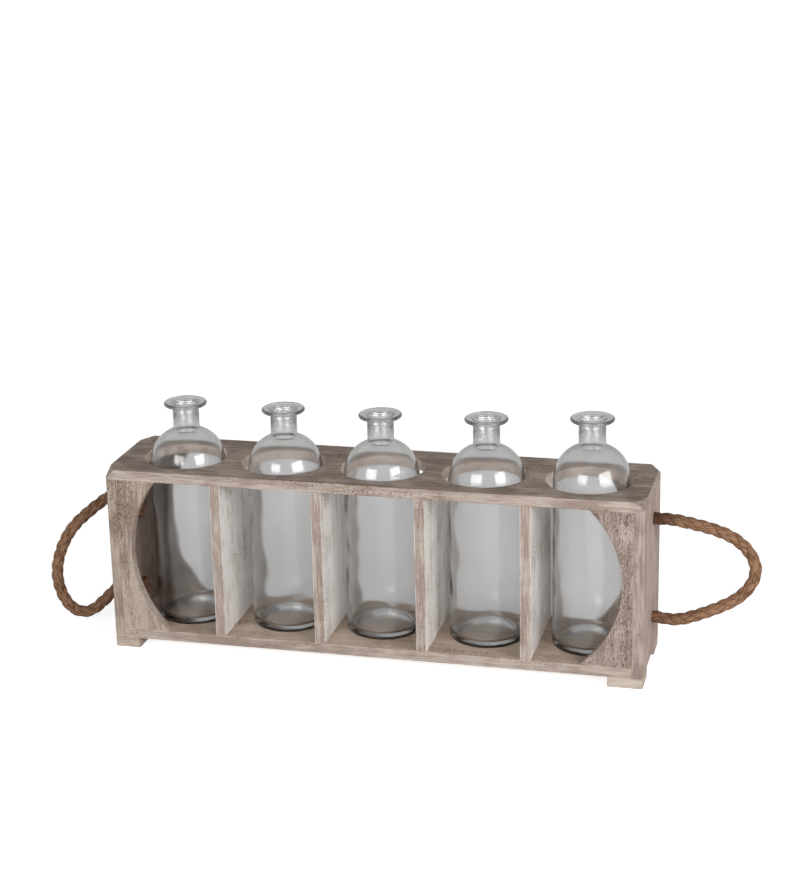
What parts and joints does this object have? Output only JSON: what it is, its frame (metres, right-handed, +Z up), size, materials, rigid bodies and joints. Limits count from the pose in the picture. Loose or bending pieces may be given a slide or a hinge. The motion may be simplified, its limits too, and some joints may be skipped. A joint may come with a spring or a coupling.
{
  "type": "bottle vase crate",
  "caption": "Row of clear glass bud vases with flared lips, standing in the round holes of a whitewashed wooden crate with arched corner brackets and rope handles.",
  "frame": {"origin": "on the floor, under the middle of the crate", "axes": "+X along the crate to the end on the right in the picture, +Y from the front to the back, +Z up"},
  "size_m": [0.6973, 0.112, 0.2447],
  "materials": {
    "whitewashed_wood": "limed and rubbed back, matt",
    "clear_glass": "clear, polished",
    "jute_rope": "coarse twisted fibre",
    "brad_steel": "bright wire"
  },
  "bodies": {
    "crate": {"top_board": "whitewashed_wood", "bottom_board": "whitewashed_wood", "divider_1": "whitewashed_wood", "divider_2": "whitewashed_wood", "divider_3": "whitewashed_wood", "divider_4": "whitewashed_wood", "end_panel_left": "whitewashed_wood", "end_panel_right": "whitewashed_wood", "bracket_front_left": "whitewashed_wood", "bracket_rear_left": "whitewashed_wood", "bracket_front_right": "whitewashed_wood", "bracket_rear_right": "whitewashed_wood", "foot_front_left": "whitewashed_wood", "foot_rear_left": "whitewashed_wood", "foot_front_right": "whitewashed_wood", "foot_rear_right": "whitewashed_wood", "top_brads": "brad_steel", "bottom_brads": "brad_steel", "panel_brads": "brad_steel", "foot_brads": "brad_steel", "rope_knot_left_upper": "jute_rope", "rope_knot_left_lower": "jute_rope", "rope_knot_right_upper": "jute_rope", "rope_knot_right_lower": "jute_rope"},
    "bottle_1": {"bottle_1": "clear_glass"},
    "bottle_2": {"bottle_2": "clear_glass"},
    "bottle_3": {"bottle_3": "clear_glass"},
    "bottle_4": {"bottle_4": "clear_glass"},
    "bottle_5": {"bottle_5": "clear_glass"},
    "handle_left": {"rope_handle_left": "jute_rope"},
    "handle_right": {"rope_handle_right": "jute_rope"}
  },
  "joints": [
    {"name": "bottle_1_lift", "type": "slide", "parent": "crate", "child": "bottle_1", "axis": [0, 0, 1], "range_m": [0, 0.17]},
    {"name": "bottle_2_lift", "type": "slide", "parent": "crate", "child": "bottle_2", "axis": [0, 0, 1], "range_m": [0, 0.17]},
    {"name": "bottle_3_lift", "type": "slide", "parent": "crate", "child": "bottle_3", "axis": [0, 0, 1], "range_m": [0, 0.17]},
    {"name": "bottle_4_lift", "type": "slide", "parent": "crate", "child": "bottle_4", "axis": [0, 0, 1], "range_m": [0, 0.17]},
    {"name": "bottle_5_lift", "type": "slide", "parent": "crate", "child": "bottle_5", "axis": [0, 0, 1], "range_m": [0, 0.17]},
    {"name": "handle_left_swing", "type": "hinge", "parent": "crate", "child": "handle_left", "pos_m": [-0.2663, -0.008, 0.0965], "axis": [0, 0, 1], "range_deg": [-75, 45]},
    {"name": "handle_right_swing", "type": "hinge", "parent": "crate", "child": "handle_right", "pos_m": [0.2663, 0.008, 0.0965], "axis": [0, 0, 1], "range_deg": [-60, 60]}
  ]
}
